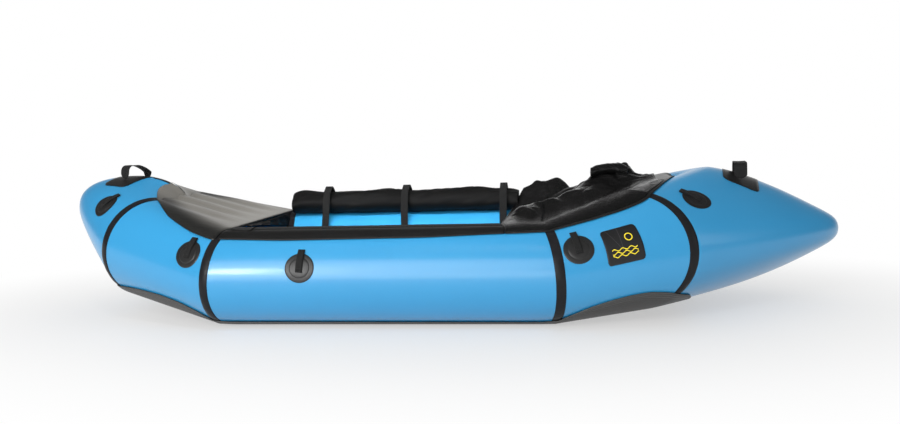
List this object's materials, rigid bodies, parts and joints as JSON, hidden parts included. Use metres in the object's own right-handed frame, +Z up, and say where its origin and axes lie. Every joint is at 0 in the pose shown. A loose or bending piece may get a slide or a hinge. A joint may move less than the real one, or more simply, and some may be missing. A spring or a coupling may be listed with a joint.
{
  "type": "packraft",
  "caption": "Inflatable solo packraft with raised ends, black floor and decks, grab loops, tie-downs and a spray skirt rolled along one side.",
  "frame": {"origin": "centre of the raft's box, on the ground under the floor", "axes": "+X to the bow, +Y to port, +Z up"},
  "size_m": [2.5, 0.8994, 0.485],
  "materials": {
    "hull_fabric": "satin coated nylon",
    "seam_tape": "glossy coated tape",
    "patch_fabric": "matte coated fabric",
    "floor_fabric": "heavy coated nylon",
    "deck_cloth": "satin cloth",
    "skirt_cloth": "coated cloth",
    "rim_cloth": "hook strip and sleeve",
    "webbing": "woven webbing",
    "seat_fabric": "coated nylon",
    "valve_plastic": "moulded"
  },
  "bodies": {
    "hull": {"stern_cap_starboard": "hull_fabric", "stern_quarter_starboard": "hull_fabric", "side_tube_starboard": "hull_fabric", "bow_quarter_starboard": "hull_fabric", "bow_cap_starboard": "hull_fabric", "stern_cap_tape_starboard": "seam_tape", "stern_seam_tape_starboard": "seam_tape", "bow_seam_tape_starboard": "seam_tape", "bow_cap_tape_starboard": "seam_tape", "stern_cap_port": "hull_fabric", "stern_quarter_port": "hull_fabric", "side_tube_port": "hull_fabric", "bow_quarter_port": "hull_fabric", "bow_cap_port": "hull_fabric", "stern_cap_tape_port": "seam_tape", "stern_seam_tape_port": "seam_tape", "bow_seam_tape_port": "seam_tape", "bow_cap_tape_port": "seam_tape", "tie_down_stern_cap_starboard": "patch_fabric", "tie_down_stern_quarter_starboard": "patch_fabric", "tie_down_side_starboard": "patch_fabric", "tie_down_bow_quarter_starboard": "patch_fabric", "tie_down_bow_cap_starboard": "patch_fabric", "tie_down_stern_cap_port": "patch_fabric", "tie_down_stern_quarter_port": "patch_fabric", "tie_down_side_port": "patch_fabric", "tie_down_bow_quarter_port": "patch_fabric", "tie_down_bow_cap_port": "patch_fabric", "side_patch": "patch_fabric", "floor_panel": "floor_fabric", "rear_deck": "deck_cloth", "front_deck": "skirt_cloth", "deck_rim_starboard": "rim_cloth", "deck_rim_port": "rim_cloth", "rim_tab": "rim_cloth", "spray_skirt_roll": "skirt_cloth", "roll_strap_1": "webbing", "roll_strap_2": "webbing", "roll_strap_3": "webbing", "spray_skirt_bunch": "skirt_cloth", "bow_grab_loop_patch": "patch_fabric", "stern_grab_loop_patch": "patch_fabric", "stern_centre_tape": "seam_tape", "valve_boot": "patch_fabric", "valve_body": "valve_plastic", "seat_cushion": "seat_fabric", "seat_valve": "valve_plastic"},
    "valve_cap": {"valve_cap": "valve_plastic"},
    "valve_plunger": {"valve_plunger": "valve_plastic"},
    "bow_grab_loop": {"bow_grab_loop": "webbing"},
    "stern_grab_loop": {"stern_grab_loop": "webbing"},
    "seat_valve_cap": {"seat_valve_cap": "valve_plastic"}
  },
  "joints": [
    {"name": "valve_cap_twist", "type": "hinge", "parent": "hull", "child": "valve_cap", "pos_m": [-0.83974, 0.35797, 0.21868], "axis": [-0.3508, 0.9188, 0.1811], "range_deg": [0, 90]},
    {"name": "valve_plunger_press", "type": "slide", "parent": "hull", "child": "valve_plunger", "axis": [0.3508, -0.9188, -0.1811], "range_m": [0, 0.005], "stiffness_N_per_m": 300},
    {"name": "bow_grab_loop_flop", "type": "hinge", "parent": "hull", "child": "bow_grab_loop", "pos_m": [0.95662, 0, 0.41778], "axis": [0.1392, 0.9903, 0], "range_deg": [-45, 45], "stiffness_Nm_per_rad": 0.03},
    {"name": "stern_grab_loop_flop", "type": "hinge", "parent": "hull", "child": "stern_grab_loop", "pos_m": [-1.04498, 0, 0.45778], "axis": [0.3746, 0.9272, 0], "range_deg": [-45, 45], "stiffness_Nm_per_rad": 0.03},
    {"name": "seat_valve_twist", "type": "hinge", "parent": "hull", "child": "seat_valve_cap", "pos_m": [-0.2993, 0, 0.1037], "axis": [0, 0, 1], "range_deg": [0, 120]}
  ]
}
